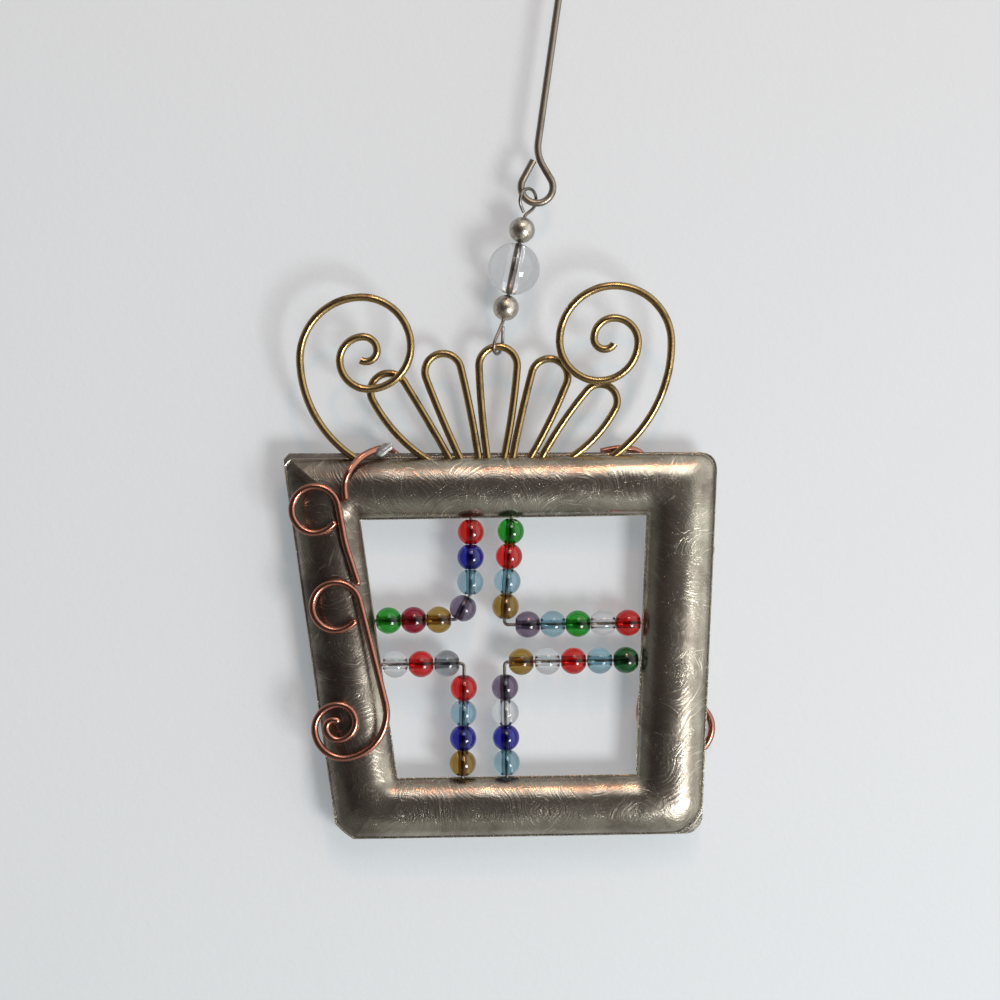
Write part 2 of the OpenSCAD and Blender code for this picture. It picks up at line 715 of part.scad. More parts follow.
// The upper loop with its stem, and the middle loop that runs into the spiral
module upper_copper(drop, middle_drop) {
    hub = [upper_across_share * left_rail, -drop];
    start = concat(hub + toward(-upper_tuck_angle) * upper_loop, [-upper_tuck_angle - 90]);
    stem = middle_drop - middle_loop - drop - copper_wire / 2;
    bends = [
        [upper_loop, -upper_loop_angle],
        [stem * upper_stem_shares[0], 0],
        [stem * upper_stem_shares[1], upper_stem_angle],
        [stem * upper_stem_shares[2], 0]
    ];
    bent_wire(start, bends, copper_wire, round_ends = true);
}
module middle_copper(middle_drop) {
    hub = [middle_across_share * left_rail, -middle_drop];
    start = concat(hub + toward(-middle_tuck_angle) * middle_loop, [-middle_tuck_angle - 90]);
    bent_wire(start, scaled_bends(middle_copper_shares, middle_loop), copper_wire, round_ends = true);
}

// Leads from the scrollwork over the frame's top edge; side is -1 left, +1 right
function lead_route(shares, side, face) =
    let (slope = side < 0 ? left_slope : right_slope)
    [for (row = shares)
        [side * (top_width / 2 - (row[0] + slope * row[1]) * left_rail),
            face * row[2] * lie_height, -row[1] * left_rail]];

module front_lead_copper() {
    color([0.66, 0.4, 0.3]) hung() swept_wire(smooth(lead_route(front_lead_shares, -1, -1)), copper_wire);
}
module front_upper_copper() {
    color([0.66, 0.4, 0.3]) hung() on_front_rail() upper_copper(front_upper_drop, front_middle_drop);
}
module front_middle_copper() {
    color([0.66, 0.4, 0.3]) hung() on_front_rail() middle_copper(front_middle_drop);
}
module back_lead_copper() {
    color([0.66, 0.4, 0.3]) hung() swept_wire(smooth(lead_route(back_lead_shares, 1, 1)), copper_wire);
}
module back_upper_copper() {
    color([0.66, 0.4, 0.3]) hung() on_back_rail() upper_copper(back_upper_drop, back_middle_drop);
}
module back_middle_copper() {
    color([0.66, 0.4, 0.3]) hung() on_back_rail() middle_copper(back_middle_drop);
}

module strand_wires(s) {
    route = strand_route(s);
    color([0.2, 0.19, 0.17])
        hung()
            bent_wire(concat(route[0], [heading(route[1] - route[0])]),
                cornered_bends(route, strand_bend), strand_wire);
}

// A ball with flat ends and a bore, lying along +Z
module drilled_ball(width, length, wire) {
    difference() {
        intersection() {
            sphere(d = width);
            cube([width, width, length], center = true);
        }
        cylinder(d = wire + 2 * bore_gap, h = 2 * width, center = true);
    }
}

module strand_bead(s, i) {
    place = bead_place(s, i);
    color(bead_colours[s][i])
        hung()
            translate([place[0], 0, place[1]])
                rotate([0, 90 - place[2], 0])
                    drilled_ball(bead_width, bead_length, strand_wire);
}

module on_drop(distance = 0) {
    translate([petal_crown[0], 0, petal_crown[1]])
        rotate([0, drop_lean_angle, 0])
            translate([0, 0, distance])
                children();
}
ball_length_share = 0.985;

module drop_wire() {
    lower_neck = lower_neck_share * lower_eye;
    upper_neck = upper_neck_share * upper_eye;
    color([0.35, 0.33, 0.3])
        hung()
            on_drop(clear_bead_at) {
                rotate([0, 0, lower_eye_angle])
                    bent_wire([0, 0, -90],
                        eye_bends(clear_bead_at - lower_eye_at - lower_neck, lower_eye, lower_neck,
                            neck_bend, drop_wire_width), drop_wire_width);
                rotate([0, 0, upper_eye_angle])
                    bent_wire([0, 0, 90],
                        eye_bends(upper_eye_at - clear_bead_at - upper_neck, upper_eye, upper_neck,
                            neck_bend, drop_wire_width), drop_wire_width);
            }
}
module lower_metal_bead() {
    color([0.6, 0.58, 0.55])
        hung()
            on_drop(lower_bead_at)
                drilled_ball(metal_bead, metal_bead * ball_length_share, drop_wire_width);
}
module clear_glass_bead() {
    color([0.9, 0.92, 0.94, 0.5])
        hung()
            on_drop(clear_bead_at)
                drilled_ball(clear_bead, clear_bead * ball_length_share, drop_wire_width);
}
module upper_metal_bead() {
    color([0.6, 0.58, 0.55])
        hung()
            on_drop(upper_bead_at)
                drilled_ball(metal_bead, metal_bead * ball_length_share, drop_wire_width);
}

module hanging_hook() {
    color([0.35, 0.33, 0.29])
        hung()
            union() {
                bent_wire(concat(hook_start, [0]), hook_up_bends, hook_wire);
                bent_wire(concat(hook_start, [180]), hook_tuck_bends, hook_wire);
            }
}

frame_front();
frame_back();
left_scroll_wire();
right_scroll_wire();
for (i = [0 : len(petal_shares) - 1])
    petal_wire(i);
front_lead_copper();
front_upper_copper();
front_middle_copper();
back_lead_copper();
back_upper_copper();
back_middle_copper();
for (s = [0 : len(STRANDS) - 1])
    strand_wires(s);
for (s = [0 : len(STRANDS) - 1])
    for (i = [0 : bead_count(s) - 1])
        strand_bead(s, i);
drop_wire();
lower_metal_bead();
clear_glass_bead();
upper_metal_bead();
hanging_hook();
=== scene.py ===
"""Looks of a hanging package ornament: a puffed metal frame with a brass bow, copper
scrolls, glass beads on dark wire, a beaded drop and a steel hook."""

import json
import logging
import math
from dataclasses import dataclass
from enum import Enum
from typing import Any, Optional, Union

import bmesh
import bpy
from mathutils import Matrix, Vector, noise


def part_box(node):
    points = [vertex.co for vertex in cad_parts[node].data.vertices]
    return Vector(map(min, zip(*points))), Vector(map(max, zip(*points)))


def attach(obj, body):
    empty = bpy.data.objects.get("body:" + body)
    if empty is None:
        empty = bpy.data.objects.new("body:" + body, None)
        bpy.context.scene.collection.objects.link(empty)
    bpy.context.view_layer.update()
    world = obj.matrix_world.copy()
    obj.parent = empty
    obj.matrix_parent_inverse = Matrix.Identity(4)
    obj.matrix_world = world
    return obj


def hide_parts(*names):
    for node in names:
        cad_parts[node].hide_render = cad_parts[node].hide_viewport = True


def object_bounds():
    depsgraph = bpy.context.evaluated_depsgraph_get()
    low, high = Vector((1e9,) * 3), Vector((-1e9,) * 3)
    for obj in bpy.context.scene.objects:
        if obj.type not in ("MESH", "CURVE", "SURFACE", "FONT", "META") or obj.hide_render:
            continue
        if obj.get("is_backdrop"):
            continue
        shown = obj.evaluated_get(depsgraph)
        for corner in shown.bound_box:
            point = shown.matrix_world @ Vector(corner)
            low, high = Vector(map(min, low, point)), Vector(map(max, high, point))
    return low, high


MM = 0.001
Rgb = tuple[float, float, float]
log = logging.getLogger("ornament")


def rgba(colour: Rgb) -> tuple[float, float, float, float]:
    """Adds full alpha to a colour."""
    return (colour[0], colour[1], colour[2], 1.0)


class Tone:
    """A socket of a node tree, on which arithmetic adds Math nodes.

    Attributes:
        bench: The tree that the socket is in.
        socket: The output socket that this stands for.
    """

    def __init__(self, bench: "Bench", socket: bpy.types.NodeSocket) -> None:
        """Wraps one output socket of a bench's tree."""
        self.bench = bench
        self.socket = socket

    def math(self, operation: str, *values: Union["Tone", float], clamp: bool = False) -> "Tone":
        """Adds a Math node with this as its first value.

        Args:
            operation: The node's operation.
            *values: Its other values.
            clamp: Whether the result stays between 0 and 1.

        Returns:
            The node's result.
        """
        return self.bench.sum(operation, self, *values, clamp=clamp)

    def __add__(self, other: Union["Tone", float]) -> "Tone":
        """Adds a value."""
        return self.math("ADD", other)

    def __radd__(self, other: float) -> "Tone":
        """Adds this to a number."""
        return self.math("ADD", other)

    def __sub__(self, other: Union["Tone", float]) -> "Tone":
        """Takes a value away."""
        return self.math("SUBTRACT", other)

    def __rsub__(self, other: float) -> "Tone":
        """Takes this away from a number."""
        return self.bench.sum("SUBTRACT", other, self)

    def __mul__(self, other: Union["Tone", float]) -> "Tone":
        """Multiplies by a value."""
        return self.math("MULTIPLY", other)

    def clamped(self) -> "Tone":
        """Keeps the value between 0 and 1."""
        return self.math("ADD", 0.0, clamp=True)


class Bench:
    """The node tree of a material, a light or the world, and the one place that adds to it."""

    def __init__(self, tree: bpy.types.NodeTree) -> None:
        """Takes a tree and empties it.

        Args:
            tree: The node tree to build in.
        """
        self.tree = tree
        self.tree.nodes.clear()

    def add(
        self,
        kind: str,
        settings: Optional[dict[str, Any]] = None,
        sockets: Optional[dict[Union[str, int], Any]] = None,
    ) -> bpy.types.Node:
        """Adds one node.

        Args:
            kind: The node's type.
            settings: Its settings, set first.
            sockets: Values or links of its inputs.

        Returns:
            The node.
        """
        made = self.tree.nodes.new(kind)
        for name, value in (settings or {}).items():
            setattr(made, name, value)
        for key, value in (sockets or {}).items():
            if isinstance(value, Tone):
                self.tree.links.new(value.socket, made.inputs[key])
            else:
                made.inputs[key].default_value = value
        return made

    def node(self, kind: str, *args: Any, output: Union[str, int] = 0, **words: Any) -> Tone:
        """Adds one node and gives one of its outputs.

        Args:
            kind: The node's type.
            *args: Its settings and sockets, as add() takes them.
            output: The output that is wanted.
            **words: The same, by name.

        Returns:
            The wanted output.
        """
        return Tone(self, self.add(kind, *args, **words).outputs[output])

    def split(self, vector: Tone) -> tuple[Tone, Tone, Tone]:
        """Splits a vector into its three numbers."""
        parts = self.add("ShaderNodeSeparateXYZ", sockets={0: vector})
        return Tone(self, parts.outputs[0]), Tone(self, parts.outputs[1]), Tone(self, parts.outputs[2])

    def sum(self, operation: str, *values: Union[Tone, float], clamp: bool = False) -> Tone:
        """Adds a Math node.

        Args:
            operation: The node's operation.
            *values: Its values in order.
            clamp: Whether the result stays between 0 and 1.

        Returns:
            The node's result.
        """
        return self.node(
            "ShaderNodeMath", {"operation": operation, "use_clamp": clamp}, dict(enumerate(values))
        )

    def place(self, stretch: tuple[float, float, float] = (1.0, 1.0, 1.0)) -> Tone:
        """The place on the object at rest, in metres, stretched along each axis."""
        here = self.node("ShaderNodeTexCoord", output="Object")
        return self.node("ShaderNodeVectorMath", {"operation": "MULTIPLY"}, {0: here, 1: stretch})

    def noise(self, where: Tone, grain: float, detail: float = 3.0, rough: float = 0.55) -> Tone:
        """Soft noise.

        Args:
            where: The place.
            grain: Size of its blotches in metres.
            detail: How many finer layers it has.
            rough: How strong the finer layers are.

        Returns:
            The noise, from 0 to 1.
        """
        return self.node(
            "ShaderNodeTexNoise",
            sockets={"Vector": where, "Scale": 1.0 / grain, "Detail": detail, "Roughness": rough},
        )

    def blend(self, share: Union[Tone, float], low: Any, high: Any) -> Tone:
        """Mixes two colours.

        Args:
            share: How much of the second shows.
            low: The first colour.
            high: The second colour.

        Returns:
            The mixed colour.
        """
        low = rgba(low) if isinstance(low, tuple) else low
        high = rgba(high) if isinstance(high, tuple) else high
        return self.node(
            "ShaderNodeMix",
            {"data_type": "RGBA"},
            {0: share, 6: low, 7: high},
            output=2,
        )

    def bump(self, height: Tone, depth: float, strength: float = 1.0) -> Tone:
        """Turns a height from 0 to 1 into a normal.

        Args:
            height: The height.
            depth: Its full depth in metres.
            strength: How much of it is felt.

        Returns:
            The bumped normal.
        """
        return self.node(
            "ShaderNodeBump", sockets={"Strength": strength, "Distance": depth, "Height": height}
        )

    def finish(self, shader: Tone, output: str = "ShaderNodeOutputMaterial") -> None:
        """Links a shader to the tree's output."""
        self.add(output, sockets={"Surface": shader})


def new_material(name: str) -> tuple[bpy.types.Material, Bench]:
    """Makes an empty material with a bench for its nodes."""
    material = bpy.data.materials.new(name)
    material.use_nodes = True
    return material, Bench(material.node_tree)


@dataclass(frozen=True)
class BrushedSteel:
    """Sheet metal brushed by hand in short overlapping arcs, darkened by its patina, with the left rail darkened
    partly by smoke and partly by painted shade.

    Attributes:
        name: The material's name.
        pale: Colour of the metal itself.
        dark: Colour of the patina, also used for the painted shade on the left rail.
        bare: Colour where a stroke has bared the metal.
        edge: Colour of the thin worn lip along the seam.
        lip: Width of that lip.
        patch: Size of a patch that was brushed in one go.
        fine: Size of the finer second layer's patches against the first's.
        reach: Radius of its arcs.
        stroke: Width and length of one stroke.
        smoke_and_shade: How far left of the origin the darkened left rail begins, and over what width; the
            darkening is partly smoke and partly painted shade.
        depth: Depth of the strokes.
        roughness: Roughness of the metal.
    """

    name: str = "brushed_steel"
    pale: Rgb = (0.46, 0.43, 0.355)
    dark: Rgb = (0.075, 0.052, 0.046)
    bare: Rgb = (0.86, 0.82, 0.70)
    edge: Rgb = (0.66, 0.63, 0.55)
    lip: float = 0.22 * MM
    patch: float = 6.5 * MM
    fine: float = 0.62
    reach: float = 4.5 * MM
    stroke: tuple[float, float] = (0.27 * MM, 3.4 * MM)
    smoke_and_shade: tuple[float, float] = (24.0 * MM, 4.0 * MM)
    depth: float = 0.09 * MM
    roughness: float = 0.19

    def strokes(self, bench: Bench, flat: Tone, share: float) -> Tone:
        """Curved strokes, each patch round a middle of its own.

        Args:
            bench: Where the nodes go.
            flat: The place, laid flat.
            share: Size of this layer's patches and strokes against the full ones.

        Returns:
            The strokes, from 0 to 1.
        """
        wander = bench.node(
            "ShaderNodeTexNoise",
            sockets={"Vector": flat, "Scale": 1.6 / (self.patch * share), "Detail": 1.0},
            output="Color",
        )
        strayed = bench.node(
            "ShaderNodeVectorMath",
            {"operation": "MULTIPLY_ADD"},
            {0: wander, 1: (self.patch * 0.22,) * 3, 2: flat},
        )
        cells = bench.add(
            "ShaderNodeTexVoronoi",
            {"voronoi_dimensions": "2D", "feature": "F1"},
            {"Vector": strayed, "Scale": 1.0 / (self.patch * share), "Randomness": 1.0},
        )
        chance = Tone(bench, cells.outputs["Color"])
        reach = self.reach * share
        aside = bench.node(
            "ShaderNodeVectorMath",
            {"operation": "MULTIPLY_ADD"},
            {0: chance, 1: (2.0 * reach,) * 3, 2: (-reach,) * 3},
        )
        middle = bench.node(
            "ShaderNodeVectorMath",
            {"operation": "ADD"},
            {0: Tone(bench, cells.outputs["Position"]), 1: aside},
        )
        away = bench.node("ShaderNodeVectorMath", {"operation": "SUBTRACT"}, {0: strayed, 1: middle})
        side, rise, _ = bench.split(away)
        far = (side * side + rise * rise).math("SQRT")
        turn = rise.math("ARCTAN2", side)
        lane = bench.node(
            "ShaderNodeCombineXYZ",
            sockets={
                0: turn * (reach / (self.stroke[1] * share)),
                1: far * (1.0 / (self.stroke[0] * share)),
                2: bench.split(chance)[0] * 40.0,
            },
        )
        return bench.noise(lane, 1.0, 1.5, 0.5)

    def material(self) -> bpy.types.Material:
        """Builds the material."""
        material, bench = new_material(self.name)
        here = bench.place()
        across, out, up = bench.split(here)
        flat = bench.node("ShaderNodeCombineXYZ", sockets={0: across, 1: up})
        wide = self.strokes(bench, flat, 1.0)
        fine = self.strokes(bench, flat, self.fine)
        grain = bench.noise(flat, 0.22 * MM, 3.0, 0.7)
        clouds = bench.noise(here, 8.0 * MM, 4.0, 0.62)
        felt = bench.noise(here, 5.0 * MM, 2.0)
        scratches = wide * 0.6 + fine * 0.36 + grain * 0.04
        pressed = ((felt - 0.42) * 4.0).clamped()
        bared = ((wide - 0.6) * 7.0).clamped() * pressed + ((fine - 0.64) * 6.0).clamped() * 0.5
        # Darkens the left rail: partly smoke on the metal, partly painted shade standing in for the dark
        # reflection the rail shows; it also dims the bared strokes there.
        start, width = self.smoke_and_shade
        smoked_and_shaded = ((across * -1.0 - start) * (1.0 / width)).clamped()
        patina_and_shade = ((clouds - 0.40) * 2.8 + smoked_and_shaded * 0.55 + (grain - 0.5) * 0.4).clamped()
        height = out.math("ABSOLUTE")
        lip = 1.0 - (height * (1.0 / self.lip) - 0.6).clamped()
        groove = 1.0 - ((height - self.lip * 1.9).math("ABSOLUTE") * (1.0 / self.lip)).clamped()
        tint = bench.blend(patina_and_shade * 0.82, self.pale, self.dark)
        tint = bench.blend(bared.clamped() * (1.0 - smoked_and_shaded * 0.45), tint, self.bare)
        tint = bench.blend(groove * 0.6, tint, self.dark)
        tint = bench.blend(lip * (0.35 + grain), tint, self.edge)
        shader = bench.node(
            "ShaderNodeBsdfPrincipled",
            sockets={
                "Base Color": tint,
                "Metallic": 1.0,
                "Roughness": patina_and_shade * 0.1 + grain * 0.08 + self.roughness,
                "Normal": bench.bump(scratches, self.depth, 0.75),
            },
        )
        bench.finish(shader)
        return material


@dataclass(frozen=True)
class DrawnWire:
    """Drawn metal wire with an aged tone.

    Attributes:
        name: The material's name.
        bright: Colour where it is rubbed bright.
        tarnish: Colour where it has darkened.
        age: Share of it that has darkened.
        blotch: Size of the darkened patches.
        roughness: Roughness where it is bright.
        nick_depth: Depth of its nicks.
    """

    name: str
    bright: Rgb
    tarnish: Rgb
    age: float = 0.4
    blotch: float = 3.0 * MM
    roughness: float = 0.22
    nick_depth: float = 0.02 * MM

    def material(self) -> bpy.types.Material:
        """Builds the material."""
        material, bench = new_material(self.name)
        here = bench.place()
        patches = bench.noise(here, self.blotch, 4.0, 0.62)
        specks = bench.noise(here, 0.25 * MM, 3.0, 0.7)
        aged = ((patches - (0.72 - 0.4 * self.age)) * 4.0 + (specks - 0.5) * 0.5).clamped()
        shader = bench.node(
            "ShaderNodeBsdfPrincipled",
            sockets={
                "Base Color": bench.blend(aged, self.bright, self.tarnish),
                "Metallic": 1.0,
                "Roughness": aged * 0.2 + specks * 0.08 + self.roughness,
                "Normal": bench.bump(specks + patches, self.nick_depth, 0.6),
            },
        )
        bench.finish(shader)
        return material


class Glass(Enum):
    """Colours of the glass beads, as light keeps them on its way through."""

    RED = ("red_glass", (0.80, 0.03, 0.028))
    GARNET = ("garnet_glass", (0.37, 0.012, 0.04))
    COBALT = ("cobalt_glass", (0.03, 0.035, 0.40))
    AQUA = ("aqua_glass", (0.40, 0.61, 0.70))
    AMETHYST = ("amethyst_glass", (0.23, 0.18, 0.27))
    AMBER = ("amber_glass", (0.45, 0.275, 0.05))
    GREEN = ("green_glass", (0.02, 0.40, 0.03))
    FOREST = ("forest_glass", (0.01, 0.16, 0.035))
    CLEAR = ("clear_glass", (0.88, 0.89, 0.90))
    SMOKE = ("smoke_glass", (0.40, 0.43, 0.45))

    @property
    def slot(self) -> str:
        """Name of the record's material slot."""
        return self.value[0]

    @property
    def tint(self) -> Rgb:
        """Colour of the glass."""
        return self.value[1]


@dataclass(frozen=True)
class BeadGlass:
    """Moulded glass with faint flow marks.

    Attributes:
        kind: Which of the glass colours it is.
        roughness: Roughness of its skin.
        ripple: Distance between its flow marks.
        ripple_depth: Depth of the flow marks.
        cloud: Size of its deeper patches.
        deepening: Brightness of these patches against the rest.
        index: Its refractive index.
        purity: How far its tint is thinned towards white.
    """

    kind: Glass
    roughness: float = 0.015
    ripple: float = 1.4 * MM
    ripple_depth: float = 0.012 * MM
    cloud: float = 2.2 * MM
    deepening: float = 0.86
    index: float = 1.5
    purity: float = 0.0

    def material(self) -> bpy.types.Material:
        """Builds the material."""
        material, bench = new_material(self.kind.slot)
        here = bench.place()
        flow = bench.noise(here, self.ripple, 2.0)
        depth = bench.noise(here, self.cloud, 1.0)
        tint: Rgb = tuple(mix(part, 1.0, self.purity) for part in self.kind.tint)
        deep: Rgb = tuple(mix(self.deepening, 1.0, self.purity) * part for part in tint)
        shader = bench.node(
            "ShaderNodeBsdfPrincipled",
            sockets={
                "Base Color": bench.blend(depth, tint, deep),
                "Transmission Weight": 1.0,
                "IOR": self.index,
                "Roughness": flow * 0.02 + self.roughness,
                "Normal": bench.bump(flow, self.ripple_depth, 0.5),
            },
        )
        bench.finish(shader)
        return material


@dataclass(frozen=True)
class WornSilver:
    """Bright bead metal with fine scratches all ways and dull hollows.

    Attributes:
        name: The material's name.
        bright: Its colour.
        dull: Colour of its dull patches.
        roughness: Roughness where it is bright.
        hollow: Size of the dull patches.
        scratch: Distance between its scratches.
        depth: Depth of hollows and scratches.
    """

    name: str = "worn_silver"
    bright: Rgb = (0.56, 0.515, 0.45)
    dull: Rgb = (0.27, 0.24, 0.205)
    roughness: float = 0.26
    hollow: float = 0.7 * MM
    scratch: float = 0.5 * MM
    depth: float = 0.05 * MM

    def material(self) -> bpy.types.Material:
        """Builds the material."""
        material, bench = new_material(self.name)
        here = bench.place()
        dents = bench.noise(here, self.hollow, 4.0, 0.65)
        lines = bench.noise(bench.place((1.0, 1.0, 6.0)), self.scratch, 3.0, 0.7)
        worn = ((dents - 0.48) * 4.0).clamped()
        shader = bench.node(
            "ShaderNodeBsdfPrincipled",
            sockets={
                "Base Color": bench.blend(worn, self.bright, self.dull),
                "Metallic": 1.0,
                "Roughness": worn * 0.15 + self.roughness,
                "Normal": bench.bump(dents * 0.6 + lines * 0.6, self.depth, 0.6),
            },
        )
        bench.finish(shader)
        return material


BRASS = DrawnWire("aged_brass", (0.43, 0.30, 0.135), (0.095, 0.062, 0.03), 0.58, roughness=0.17)
COPPER = DrawnWire("soft_copper", (0.44, 0.20, 0.145), (0.15, 0.06, 0.045), 0.4, roughness=0.17)
DARK_WIRE = DrawnWire("dark_wire", (0.22, 0.20, 0.18), (0.07, 0.06, 0.055), 0.5, 2.0 * MM, 0.32)
EYE_WIRE = DrawnWire("eye_wire", (0.24, 0.215, 0.19), (0.08, 0.07, 0.06), 0.5, 1.5 * MM, 0.28)
HOOK_STEEL = DrawnWire("hook_steel", (0.32, 0.28, 0.23), (0.10, 0.082, 0.062), 0.5, 4.0 * MM, 0.3)
SOLDER = DrawnWire("solder", (0.36, 0.36, 0.36), (0.20, 0.20, 0.20), 0.4, 0.8 * MM, 0.42, 0.05 * MM)


def dress(node: str, material: bpy.types.Material) -> None:
    """Puts a finish in a CAD node's material slots.

    Args:
        node: The node's name.
        material: The finish.
    """
    thing = frame["nodes"][node]
    if not thing.material_slots:
        thing.data.materials.append(material)
    for slot in thing.material_slots:
        slot.material = material


def named(*starts: str) -> list[str]:
    """Names of the CAD nodes that start with one of some words."""
    return [name for name in sorted(frame["nodes"]) if name.startswith(starts)]


def joint_of(name: str) -> dict[str, Any]:
    """What the record says of a joint."""
    return next(joint for joint in frame["joints"] if joint["name"] == name)


def joint_place(name: str) -> Vector:
    """Where a joint of the record turns, at rest."""
    return Vector(joint_of(name)["pos_m"])


def skin(shape: bmesh.types.BMesh, rings: list[list[bmesh.types.BMVert]], closed: bool) -> None:
    """Joins rings of vertices with faces.

    Args:
        shape: The mesh in the making.
        rings: The rings in order, all of the same count.
        closed: Whether the last ring meets the first.
    """
    for a, b in zip(rings, rings[1:] + rings[:1] if closed else rings[1:]):
        for k in range(len(a)):
            m = (k + 1) % len(a)
            shape.faces.new((a[k], a[m], b[m], b[k]))


def stand_in(thing: bpy.types.Object, body: str, node: str) -> bpy.types.Object:
    """Lets a piece ride on a body in the place of a CAD node.

    Args:
        thing: The piece.
        body: The body.
        node: The CAD node.

    Returns:
        The piece.
    """
    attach(thing, body)
    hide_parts(node)
    return thing


def finish_mesh(
    name: str, shape: bmesh.types.BMesh, material: bpy.types.Material, place: Matrix = Matrix()
) -> bpy.types.Object:
    """Turns a mesh in the making into a smooth object of the scene.

    Args:
        name: The object's name.
        shape: The mesh in the making, which is freed.
        material: Its finish.
        place: Where it stands.

    Returns:
        The object.
    """
    bmesh.ops.remove_doubles(shape, verts=shape.verts, dist=0.0002 * MM)
    bmesh.ops.recalc_face_normals(shape, faces=shape.faces)
    mesh = bpy.data.meshes.new(name)
    shape.to_mesh(mesh)
    shape.free()
    mesh.shade_smooth()
    mesh.materials.append(material)
    thing = bpy.data.objects.new(name, mesh)
    thing.matrix_world = place
    bpy.context.collection.objects.link(thing)
    return thing


def mix(low: Any, high: Any, share: float) -> Any:
    """The value at a share of the way between two numbers or vectors."""
    return low * (1.0 - share) + high * share


@dataclass
class PuffedFrame:
    """The two puffed sheets and the solder that holds the copper to their corner.

    Attributes:
        top_width: Width along the top edge.
        bottom_width: Width along the bottom edge.
        height: Height from edge to edge.
        bottom_shift: How far the bottom sits right of the top's middle.
        rails: Widths of the top, right, bottom and left rails.
        cuts: Lengths cut off the corners, clockwise from the top left.
        back_cuts: The same for the back sheet.
        rounds: How far each corner is rounded, from 0 to 1.
        back_rise: How far the back sheet's top left corner stands above the front's.
        puff: Height of the arch.
        power: Power of the arch.
        softness: Softness of the arch.
        lean: How far the ornament leans, in degrees.
        crown: The middle petal's top, from the middle of the top edge.
        lip: Height and width of the lip along each edge.
        uneven: Share of the arch's height that it varies by.
        dent: Size of its dents.
        closing: Gap between the two sheets' flat closing strips.
        run: Share of a corner's steps on each side that run in to its cut.
        steel: Finish of the sheets.
        solder: Length, height and width of the blob of solder.
    """

    top_width: float = 66.9 * MM
    bottom_width: float = 56.0 * MM
    height: float = 58.6 * MM
    bottom_shift: float = 2.0 * MM
    rails: tuple[float, ...] = (9.6 * MM, 10.6 * MM, 9.3 * MM, 10.5 * MM)
    cuts: tuple[float, ...] = (1.0 * MM, 2.8 * MM, 4.0 * MM, 2.5 * MM)
    back_cuts: tuple[float, ...] = (1.0 * MM, 2.8 * MM, 2.2 * MM, 2.5 * MM)
    rounds: tuple[float, ...] = (0.1, 0.9, 0.6, 0.2)
    back_rise: float = 0.85 * MM
    puff: float = 2.6 * MM
    power: float = 2.4
    softness: float = 0.75
    lean: float = 0.93
    crown: tuple[float, float] = (-0.12 * MM, 16.74 * MM)
    lip: tuple[float, float] = (0.24 * MM, 0.14 * MM)
    uneven: float = 0.07
    dent: float = 7 * MM
    closing: float = 0.04 * MM
    run: float = 0.3
    steel: BrushedSteel = BrushedSteel()
    solder: tuple[float, float, float] = (3.2 * MM, 0.5 * MM, 1.5 * MM)

    def corners(self, back: bool) -> list[Vector]:
        """The outer corners, clockwise from the top left as seen from the front."""
        half, foot = self.top_width / 2, self.bottom_width / 2
        return [
            Vector((-half, self.back_rise if back else 0.0)),
            Vector((half, 0.0)),
            Vector((self.bottom_shift + foot, -self.height)),
            Vector((self.bottom_shift - foot, -self.height)),
        ]

    def hubs(self) -> list[Vector]:
        """The corners of the opening."""
        outer = self.corners(False)
        found = []
        for k in range(4):
            lines = []
            for rail, start, end in (
                (self.rails[k - 1], outer[k - 1], outer[k]),
                (self.rails[k], outer[k], outer[(k + 1) % 4]),
            ):
                way = (end - start).normalized()
                lines.append((outer[k] + Vector((way.y, -way.x)) * rail, way))
            (a, d), (b, e) = lines
            reach = (b - a).cross(e) / d.cross(e)
            found.append(a + d * reach)
        return found

    def pairs(self, back: bool, steps: int = 56, spans: int = 30) -> list[tuple[Vector, Vector, float]]:
        """Outer and inner points round the frame, with the rail's width there.

        Args:
            back: Whether they are the back sheet's.
            steps: Steps round each corner.
            spans: Steps along each rail.

        Returns:
            The pairs, in order.
        """
        outer, hubs = self.corners(back), self.hubs()
        trims = self.back_cuts if back else self.cuts
        rows: list[list[tuple[Vector, Vector, float]]] = []
        for k in range(4):
            corner, hub = outer[k], hubs[k]
            into = (corner - outer[k - 1]).normalized()
            onward = (outer[(k + 1) % 4] - corner).normalized()
            first = corner + into * (hub - corner).dot(into)
            last = corner + onward * (hub - corner).dot(onward)
            start, end = corner - into * trims[k], corner + onward * trims[k]
            pull = mix((start + end) / 2, corner, self.rounds[k])
            row = []
            for i in range(steps + 1):
                share = i / steps
                t = min(max((share - self.run) / (1.0 - 2 * self.run), 0.0), 1.0)
                spot = start * (1 - t) ** 2 + pull * 2 * t * (1 - t) + end * t * t
                if share < self.run:
                    spot = mix(first, start, self.run_in(share / self.run))
                if share > 1.0 - self.run:
                    spot = mix(last, end, self.run_in((1.0 - share) / self.run))
                row.append((spot, hub, mix((first - hub).length, (last - hub).length, share)))
            rows.append(row)
        ring = []
        for k in range(4):
            a, b = rows[k][-1], rows[(k + 1) % 4][0]
            ring += rows[k]
            ring += [tuple(mix(x, y, i / spans) for x, y in zip(a, b)) for i in range(1, spans)]
        return ring

    @staticmethod
    def run_in(share: float) -> float:
        """Share of the way to a corner's cut, after a share of the steps to it."""
        stops = (0.0, 0.4, 0.75, 1.0)
        step = min(int(share * 3), 2)
        return mix(stops[step], stops[step + 1], share * 3 - step)

